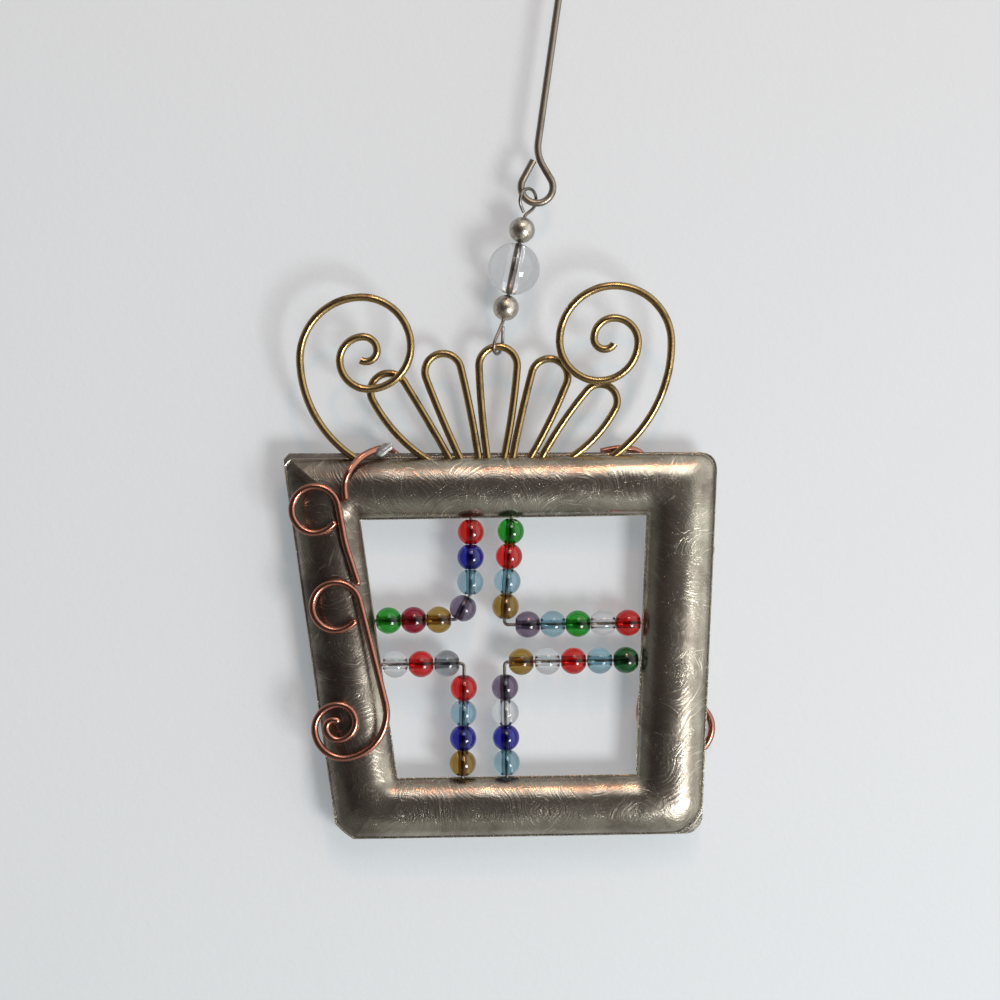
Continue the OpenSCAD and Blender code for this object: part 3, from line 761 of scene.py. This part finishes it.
    def profile(self, width: float, steps: int = 44) -> list[tuple[float, float]]:
        """The lip, the arch and the other lip, as shares across and heights.

        Args:
            width: Width of the rail.
            steps: Steps over the arch.

        Returns:
            Pairs of a share from 0 at the inner edge to 1 at the outer one, and a height.
        """
        tall, thick = self.lip
        trim = thick / width
        lip = [(0.0, 0.0), (0.0, tall * 0.8), (trim * 0.3, tall), (trim * 0.8, tall * 0.8)]
        arch = []
        for j in range(1, steps):
            t = (1 - math.cos(math.pi * j / steps)) / 2
            rise = self.puff * (1 - abs(2 * t - 1) ** self.power) ** self.softness
            arch.append((trim + (1 - 2 * trim) * t, rise))
        return lip + [(trim, tall * 0.4)] + arch + [(1 - trim, tall * 0.4)] + [
            (1 - t, rise) for t, rise in reversed(lip)
        ]

    def placed(self, spot: Vector, out: float) -> Vector:
        """A point of the frame's own plane, hung in the shared frame."""
        turn = math.radians(self.lean)
        x, z = spot.x - self.crown[0], spot.y - self.crown[1]
        top = joint_place("frame_swing")
        return Vector((
            top.x + x * math.cos(turn) - z * math.sin(turn),
            out,
            top.z + x * math.sin(turn) + z * math.cos(turn),
        ))

    def sheet(self, back: bool, steel: bpy.types.Material) -> bpy.types.Object:
        """Builds one puffed sheet, its height slightly uneven as in hand work.

        Args:
            back: Whether it is the back sheet.
            steel: Its finish.

        Returns:
            The sheet.
        """
        shape = bmesh.new()
        rings = []
        for outer, hub, width in self.pairs(back):
            reach = (outer - hub).length
            way = (outer - hub).normalized()
            ring = []
            for t, rise in self.profile(width):
                spot = hub + way * (width * t + (reach - width) * t ** 3)
                seed = Vector((spot.x, spot.y, 0.03 if back else 0.0)) / self.dent
                dent = 0.5 + 0.5 * noise.noise(seed) + 0.25 * noise.noise(seed * 2.3)
                out = rise * (1.0 - self.uneven * min(max(dent, 0.0), 1.0))
                ring.append(shape.verts.new(self.placed(spot, out if back else -out)))
            rings.append(ring)
        floor = Vector((0.0, self.closing / 2 if back else -self.closing / 2, 0.0))
        seam = [[shape.verts.new(ring[i].co + floor) for i in (0, -1)] for ring in rings]
        for a, b in zip(rings, rings[1:] + rings[:1]):
            for j in range(len(a) - 1):
                shape.faces.new((a[j], a[j + 1], b[j + 1], b[j]))
        for a, b in zip(seam, seam[1:] + seam[:1]):
            shape.faces.new((a[0], b[0], b[1], a[1]))
        name = "frame_back" if back else "frame_front"
        return stand_in(finish_mesh("puffed_" + name, shape, steel), "frame", name)

    def blob(self) -> bpy.types.Object:
        """Builds the solder, a low uneven blob where the lead crosses the top edge."""
        low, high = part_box("front_lead_copper")
        middle = Vector((mix(low.x, high.x, 0.62), low.y * 0.24, high.z - 0.75 * MM))
        shape = bmesh.new()
        bmesh.ops.create_icosphere(shape, subdivisions=4, radius=1.0)
        for point in shape.verts:
            swell = 1.0 + 0.3 * noise.noise(point.co * 1.7 + Vector((3.1, 0.4, 7.7)))
            point.co = Vector(a * b / 2 * swell for a, b in zip(point.co, self.solder))
        place = Matrix.Translation(middle) @ Matrix.Rotation(math.radians(-28), 4, "Y")
        blob = finish_mesh("solder_joint", shape, SOLDER.material(), place)
        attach(blob, "frame")
        return blob

    def build(self) -> None:
        """Builds both sheets and the solder."""
        steel = self.steel.material()
        self.sheet(False, steel)
        self.sheet(True, steel)
        self.blob()

    def dress(self) -> None:
        """Gives the hidden CAD sheets their finish too."""
        steel = self.steel.material()
        for node in named("frame_"):
            dress(node, steel)


@dataclass
class WireBow:
    """The petals and the two scrolls of brass wire."""

    brass: DrawnWire = BRASS

    def dress(self) -> None:
        """Gives the brass wires their finish."""
        brass = self.brass.material()
        for node in named("petal_wire", "left_scroll", "right_scroll"):
            dress(node, brass)


@dataclass
class CopperLead:
    """A copper wire that leads from a rail's scrolls over the frame's top edge.

    Attributes:
        node: The CAD node that it stands for.
        shares: Its points as shares of the left rail's width: in from the rail's outer
            edge, down from the corner, and out of the seam as a share of the lie height.
        side: -1 on the left rail and 1 on the right one.
        face: -1 on the front and 1 on the back.
        slope: How far the rail's outer edge leans in, for a length down it.
        wire: Width of the wire.
        lie: Height above the seam at which a wire lies on a rail.
        sides: Sides of its round.
        steps: Steps between two points.
        cap_steps: Steps over each rounded end.
    """

    node: str
    shares: tuple[tuple[float, float, float], ...]
    side: int
    face: int
    slope: float
    wire: float = 1.1 * MM
    lie: float = 3.15 * MM
    sides: int = 20
    steps: int = 8
    cap_steps: int = 6

    def route(self, sheets: "PuffedFrame") -> list[Vector]:
        """The wire's way through its points, as a smooth curve.

        Args:
            sheets: The frame that it lies on.

        Returns:
            Points along the wire.
        """
        rail = sheets.rails[3]
        points = [
            sheets.placed(
                Vector((
                    self.side * (sheets.top_width / 2 - (row[0] + self.slope * row[1]) * rail),
                    -row[1] * rail,
                )),
                self.face * row[2] * self.lie,
            )
            for row in self.shares
        ]
        curve = []
        for i in range(len(points) - 1):
            a, b, c = points[max(i - 1, 0)], points[i], points[i + 1]
            d = points[min(i + 2, len(points) - 1)]
            for k in range(self.steps):
                t = k / self.steps
                bend = (2 * a - 5 * b + 4 * c - d) * t * t + (3 * b - a - 3 * c + d) * t ** 3
                curve.append((2 * b + (c - a) * t + bend) / 2)
        return curve + [points[-1]]

    def build(self, sheets: "PuffedFrame", copper: bpy.types.Material) -> bpy.types.Object:
        """Sweeps the wire along its way, with rounded ends.

        Args:
            sheets: The frame that it lies on.
            copper: Its finish.

        Returns:
            The wire.
        """
        route, shape, rings = self.route(sheets), bmesh.new(), []
        wides = [math.sin(math.pi / 2 * i / self.cap_steps) for i in range(self.cap_steps + 1)]
        cap = [(wide, 1.0 - math.sqrt(max(1.0 - wide * wide, 0.0))) for wide in wides]
        stops = [(route[0], wide, back) for wide, back in cap]
        stops += [(spot, 1.0, 1.0) for spot in route[1:-1]]
        stops += [(route[-1], wide, back) for wide, back in reversed(cap)]
        for spot, wide, back in stops:
            i = route.index(spot)
            way = (route[min(i + 1, len(route) - 1)] - route[max(i - 1, 0)]).normalized()
            out = way.cross(Vector((0.0, 1.0, 0.0))).normalized()
            up = out.cross(way)
            inward = way if i == 0 else -way if i == len(route) - 1 else way * 0.0
            middle = spot + inward * self.wire / 2 * back
            rings.append([
                shape.verts.new(
                    middle + (out * math.cos(turn) + up * math.sin(turn)) * self.wire / 2 * wide
                )
                for turn in (math.tau * k / self.sides for k in range(self.sides))
            ])
        skin(shape, rings, closed=False)
        lead = finish_mesh("round_" + self.node, shape, copper)
        return stand_in(lead, "frame", self.node)


FRONT_LEAD = CopperLead(
    "front_lead_copper",
    (
        (0.85, 0.65, 1), (0.85, 0.508, 1), (0.873, 0.366, 1), (0.965, 0.189, 1),
        (1.106, 0.041, 0.65), (1.24, -0.053, 0.42), (1.443, -0.129, 0), (1.562, -0.114, -0.4),
        (1.658, -0.043, -0.75), (1.731, 0.052, -0.97), (1.782, 0.181, -1),
    ),
    -1, -1, 7.45 / 58.6,
)
BACK_LEAD = CopperLead(
    "back_lead_copper",
    (
        (0.737, 1.14, 1), (0.783, 0.8, 1), (0.875, 0.43, 1), (1.001, 0.15, 0.86),
        (1.151, -0.02, 0.6), (1.354, -0.075, 0.42), (1.554, -0.065, 0.42), (1.722, -0.03, 0.42),
    ),
    1, 1, 3.45 / 58.6,
)


@dataclass
class CopperScrolls:
    """The copper wires on the rails."""

    copper: DrawnWire = COPPER
    leads: tuple[CopperLead, ...] = (FRONT_LEAD, BACK_LEAD)

    def build(self, sheets: PuffedFrame) -> None:
        """Builds the two leads."""
        copper = self.copper.material()
        for lead in self.leads:
            lead.build(sheets, copper)

    def dress(self) -> None:
        """Gives the copper wires their finish."""
        copper = self.copper.material()
        for node in named("front_", "back_"):
            dress(node, copper)


@dataclass
class GlassBead:
    """One moulded bead: a round body with eased ends and a wide bore.

    Attributes:
        node: The CAD node that it stands for.
        width: Its width.
        length: Its length along the wire.
        bore: Width of its bore.
        easing: How deep its ends are eased into the bore, as a share of its length.
        sides: Sides of its round.
    """

    node: str
    width: float
    length: float
    bore: float
    easing: float = 0.1
    sides: int = 56

    def profile(
        self, steps: int = 36, mouth_steps: int = 6, bore_steps: int = 8
    ) -> list[tuple[float, float]]:
        """Places along the axis with their radius: out over the body, back by the bore.

        Args:
            steps: Steps over the body.
            mouth_steps: Steps over each eased end.
            bore_steps: Steps along the bore.

        Returns:
            The closed profile.
        """
        ball, half = self.width / 2, self.length / 2
        full = math.asin(min(half / ball, 1.0))
        ease, rim = self.easing * self.length, self.bore / 2
        points = []
        for i in range(steps + 1):
            turn = full * (2 * i / steps - 1)
            points.append((ball * math.sin(turn), ball * math.cos(turn)))
        mouth, eased = points[-1][1], []
        for i in range(1, mouth_steps + 1):
            turn = math.pi / 2 * i / mouth_steps
            deep = ease * (1 - math.cos(turn)) * 0.9
            eased.append((half - deep, mix(mouth, rim, math.sin(turn) ** 1.5)))
        run = 2 * half - 2 * ease
        bored = [(half - ease - run * i / bore_steps, rim) for i in range(1, bore_steps + 1)]
        return points + eased + bored + [(-along, radius) for along, radius in eased[-2::-1]]

    def build(self, glass: bpy.types.Material, slot: str) -> bpy.types.Object:
        """Turns the bead about its wire.

        Args:
            glass: Its finish.
            slot: The record's slot of that finish; not used.

        Returns:
            The bead.
        """
        spin = joint_of(self.node + "_spin")
        shape = bmesh.new()
        turns = [math.tau * k / self.sides for k in range(self.sides)]
        rings = [
            [shape.verts.new((radius * math.cos(t), radius * math.sin(t), along)) for t in turns]
            for along, radius in self.profile()
        ]
        skin(shape, rings, closed=True)
        way = Vector(spin["axis"]).to_track_quat("Z", "Y").to_matrix().to_4x4()
        bead = finish_mesh(
            self.node + "_glass", shape, glass, Matrix.Translation(Vector(spin["pos_m"])) @ way
        )
        return stand_in(bead, spin["child"], self.node)


@dataclass
class BeadStrands:
    """The glass beads and their dark wires.

    Attributes:
        wire: Finish of the wires.
        bore: Width of the bore of a strand's bead.
        clear_bore: Width of the bore of the drop's clear bead.
        clear: The drop's clear bead.
        water: Its glass.
        askew: The bead that lies askew, and an upright one of the same length.
    """

    wire: DrawnWire = DARK_WIRE
    bore: float = 1.3 * MM
    clear_bore: float = 1.7 * MM
    clear: str = "clear_glass_bead"
    water: BeadGlass = BeadGlass(Glass.CLEAR, purity=0.85)
    askew: tuple[str, str] = ("upper_left_bead_4", "upper_left_bead_3")

    def build(self) -> None:
        """Builds each bead in the glass that the record names."""
        glasses = {kind.slot: BeadGlass(kind).material() for kind in Glass}
        water = self.water.material()
        for part in frame["record"]["subparts"]:
            node, slot = part["node"], part["material_slot"]
            if slot not in glasses:
                continue
            dress(node, glasses[slot])
            low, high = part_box(node)
            width = high.y - low.y
            if node == self.askew[0]:
                low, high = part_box(self.askew[1])
            across, _, up = joint_of(node + "_spin")["axis"]
            upright = abs(up) > abs(across) or node == self.askew[0]
            length = (high.z - low.z) if upright else (high.x - low.x)
            bore, glass = self.bore, glasses[slot]
            if node == self.clear:
                bore, glass = self.clear_bore, water
            GlassBead(node, width, min(length, width), bore).build(glass, slot)

    def dress(self) -> None:
        """Gives the wires their finish."""
        wire = self.wire.material()
        for node in frame["nodes"]:
            if node.endswith("strand_wire"):
                dress(node, wire)


@dataclass
class BeadedDrop:
    """The wire with its eyes and the two metal beads."""

    wire: DrawnWire = EYE_WIRE
    silver: WornSilver = WornSilver()

    def dress(self) -> None:
        """Gives the wire and the metal beads their finishes."""
        silver = self.silver.material()
        dress("drop_wire", self.wire.material())
        dress("lower_metal_bead", silver)
        dress("upper_metal_bead", silver)


@dataclass
class HangingHook:
    """The steel hook."""

    steel: DrawnWire = HOOK_STEEL

    def dress(self) -> None:
        """Gives the hook its finish."""
        dress("hanging_hook", self.steel.material())


@dataclass(frozen=True)
class Lamp:
    """An area lamp that points at the ornament.

    Attributes:
        name: The lamp's name.
        place: Where it stands from the picture's middle.
        size: Its width.
        power: Its power in watts.
        colour: Its colour.
    """

    name: str
    place: tuple[float, float, float]
    size: float
    power: float
    colour: Rgb

    def build(self, middle: Vector) -> None:
        """Adds the lamp, turned to the picture's middle."""
        data = bpy.data.lights.new(self.name, "AREA")
        data.size = self.size
        data.energy = self.power
        data.color = self.colour
        lamp = bpy.data.objects.new(self.name, data)
        place = Vector(self.place)
        lamp.location = middle + place
        lamp.rotation_euler = (-place).to_track_quat("-Z", "Y").to_euler()
        bpy.context.collection.objects.link(lamp)


WINDOW = Lamp("window", (0.29, -0.40, -0.23), 0.17, 2.0, (1.0, 1.0, 0.99))
ROOM = Lamp("room", (0.15, -0.9, 0.75), 0.5, 2.0, (0.97, 0.985, 1.0))
EMBER = Lamp("ember", (0.06, -0.30, 0.34), 0.035, 0.3, (1.0, 0.34, 0.10))


@dataclass
class Studio:
    """The camera, the lights and the pale board behind the ornament.

    Attributes:
        aim: Where the picture's middle lies from the middle petal's top.
        distance: Distance of the camera from the ornament.
        lens: Focal length in millimetres on a 36 mm wide picture.
        board_gap: Gap between the ornament's back and the board.
        board_size: Width of the board.
        paper: Colour of the board.
        shades: Brightness of the board's paler and greyer patches under the lamps.
        lift: How much of its colour the board keeps in the shade.
        glow: Colour in which metal and glass show the board.
        glow_strength: Strength of that, and how much more the glass shows.
        clearness: How much of the board's own shading the glass shows.
        air: Strength of the light from all round.
        sides: The air's colours on the dim side and on the window's side.
        viewer: The air's colour where the viewer stands.
        lamps: The lamps.
    """

    aim: tuple[float, float] = (0.34 * MM, -23.59 * MM)
    distance: float = 363 * MM
    lens: float = 85.0
    board_gap: float = 0.4 * MM
    board_size: float = 3.0
    paper: Rgb = (0.668, 0.708, 0.738)
    shades: tuple[float, float] = (0.66, 0.64)
    lift: float = 0.355
    glow: Rgb = (0.84, 0.85, 0.86)
    glow_strength: tuple[float, float] = (0.62, 0.08)
    clearness: float = 0.55
    air: float = 0.992
    sides: tuple[Rgb, Rgb] = ((0.17, 0.17, 0.16), (1.4, 1.4, 1.36))
    viewer: Rgb = (0.05, 0.036, 0.038)
    lamps: tuple[Lamp, ...] = (WINDOW, ROOM, EMBER)

    def middle(self) -> Vector:
        """The middle of the picture, in the ornament's plane."""
        crown = joint_place("frame_swing")
        return Vector((crown.x + self.aim[0], 0.0, crown.z + self.aim[1]))

    def camera(self) -> None:
        """Sets up the camera, level and square to the board."""
        data = bpy.data.cameras.new("camera")
        data.lens = self.lens
        data.sensor_width = 36.0
        data.clip_start = 0.01
        data.clip_end = 20.0
        eye = bpy.data.objects.new("camera", data)
        eye.location = self.middle() - Vector((0.0, self.distance, 0.0))
        eye.rotation_euler = (math.radians(90), 0.0, 0.0)
        bpy.context.collection.objects.link(eye)
        bpy.context.scene.camera = eye

    def board(self) -> None:
        """Hangs the pale board behind the ornament; from behind it isn't seen."""
        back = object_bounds()[1][1] + self.board_gap
        half = self.board_size / 2
        middle = self.middle()
        shape = bmesh.new()
        corners = ((-half, -half), (half, -half), (half, half), (-half, half))
        shape.faces.new(
            [shape.verts.new((middle.x + x, back, middle.z + z)) for x, z in corners]
        )
        mesh = bpy.data.meshes.new("board")
        shape.to_mesh(mesh)
        shape.free()
        board = bpy.data.objects.new("board", mesh)
        bpy.context.collection.objects.link(board)
        material, bench = new_material("pale_paper")
        here = bench.place()
        fibre = bench.noise(here, 1.2 * MM, 4.0, 0.6)
        mottle = bench.noise(here, 60 * MM, 2.0)
        white, grey = (tuple(shade * part for part in self.paper) for shade in self.shades)
        paper = bench.node(
            "ShaderNodeBsdfPrincipled",
            sockets={
                "Base Color": bench.blend(mottle, white, grey),
                "Emission Color": rgba(self.paper),
                "Emission Strength": self.lift,
                "Roughness": 0.9,
                "Normal": bench.bump(fibre, 0.1 * MM, 0.5),
            },
        )
        through = bench.node("ShaderNodeLightPath", output="Is Transmission Ray")
        plain, more = self.glow_strength
        glow = bench.node(
            "ShaderNodeEmission",
            sockets={"Color": rgba(self.glow), "Strength": through * more + plain},
        )
        seen = bench.node("ShaderNodeLightPath", output="Is Camera Ray")
        shown = (seen + through * self.clearness).clamped()
        front = bench.node("ShaderNodeMixShader", sockets={0: shown, 1: glow, 2: paper})
        behind = bench.node("ShaderNodeNewGeometry", output="Backfacing")
        nothing = bench.node("ShaderNodeBsdfTransparent")
        bench.finish(bench.node("ShaderNodeMixShader", sockets={0: behind, 1: front, 2: nothing}))
        mesh.materials.append(material)
        board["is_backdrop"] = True

    def world(self) -> None:
        """Lights the world: pale all round, but for the dim side where the viewer stands."""
        world = bpy.data.worlds.new("studio")
        world.use_nodes = True
        bpy.context.scene.world = world
        bench = Bench(world.node_tree)
        way = bench.node("ShaderNodeTexCoord", output="Generated")
        right, away, up = bench.split(way)
        share = (right * 0.5 + up * 0.12 + 0.5).clamped()
        around = bench.blend(share * share, *self.sides)
        viewer = ((right * -0.26 + away * -0.96 + up * 0.05 - 0.66) * 5.5).clamped()
        around = bench.blend(viewer * 0.96, around, self.viewer)
        seen = bench.node("ShaderNodeLightPath", output="Is Camera Ray")
        light = bench.node("ShaderNodeBackground", sockets={"Color": around, "Strength": self.air})
        plain = bench.node(
            "ShaderNodeBackground", sockets={"Color": rgba(self.paper), "Strength": 0.9}
        )
        mixed = bench.node("ShaderNodeMixShader", sockets={0: seen, 1: light, 2: plain})
        bench.finish(mixed, "ShaderNodeOutputWorld")

    def build(self) -> None:
        """Sets up the camera, the lamps, the board and the world."""
        self.camera()
        for lamp in self.lamps:
            lamp.build(self.middle())
        self.board()
        self.world()
        bpy.context.scene.view_settings.view_transform = "Standard"


def main() -> None:
    """Builds and dresses the sub-assemblies in order."""
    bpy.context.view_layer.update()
    studio = Studio()
    studio.build()
    sheets, strands, scrolls = PuffedFrame(), BeadStrands(), CopperScrolls()
    sheets.build()
    scrolls.build(sheets)
    strands.build()
    for part in (sheets, WireBow(), scrolls, strands, BeadedDrop(), HangingHook()):
        part.dress()
        log.info("dressed %s", type(part).__name__)


with open("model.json") as file:
    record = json.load(file)
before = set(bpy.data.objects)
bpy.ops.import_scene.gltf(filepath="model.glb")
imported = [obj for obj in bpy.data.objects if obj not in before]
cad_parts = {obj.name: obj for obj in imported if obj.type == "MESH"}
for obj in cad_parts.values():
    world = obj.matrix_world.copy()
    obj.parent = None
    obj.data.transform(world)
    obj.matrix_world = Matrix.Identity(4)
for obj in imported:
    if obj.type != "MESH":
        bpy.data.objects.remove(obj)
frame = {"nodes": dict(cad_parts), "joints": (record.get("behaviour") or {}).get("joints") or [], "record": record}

if __name__ == "__main__":
    logging.basicConfig(level=logging.INFO, format="%(name)s: %(message)s")
    main()
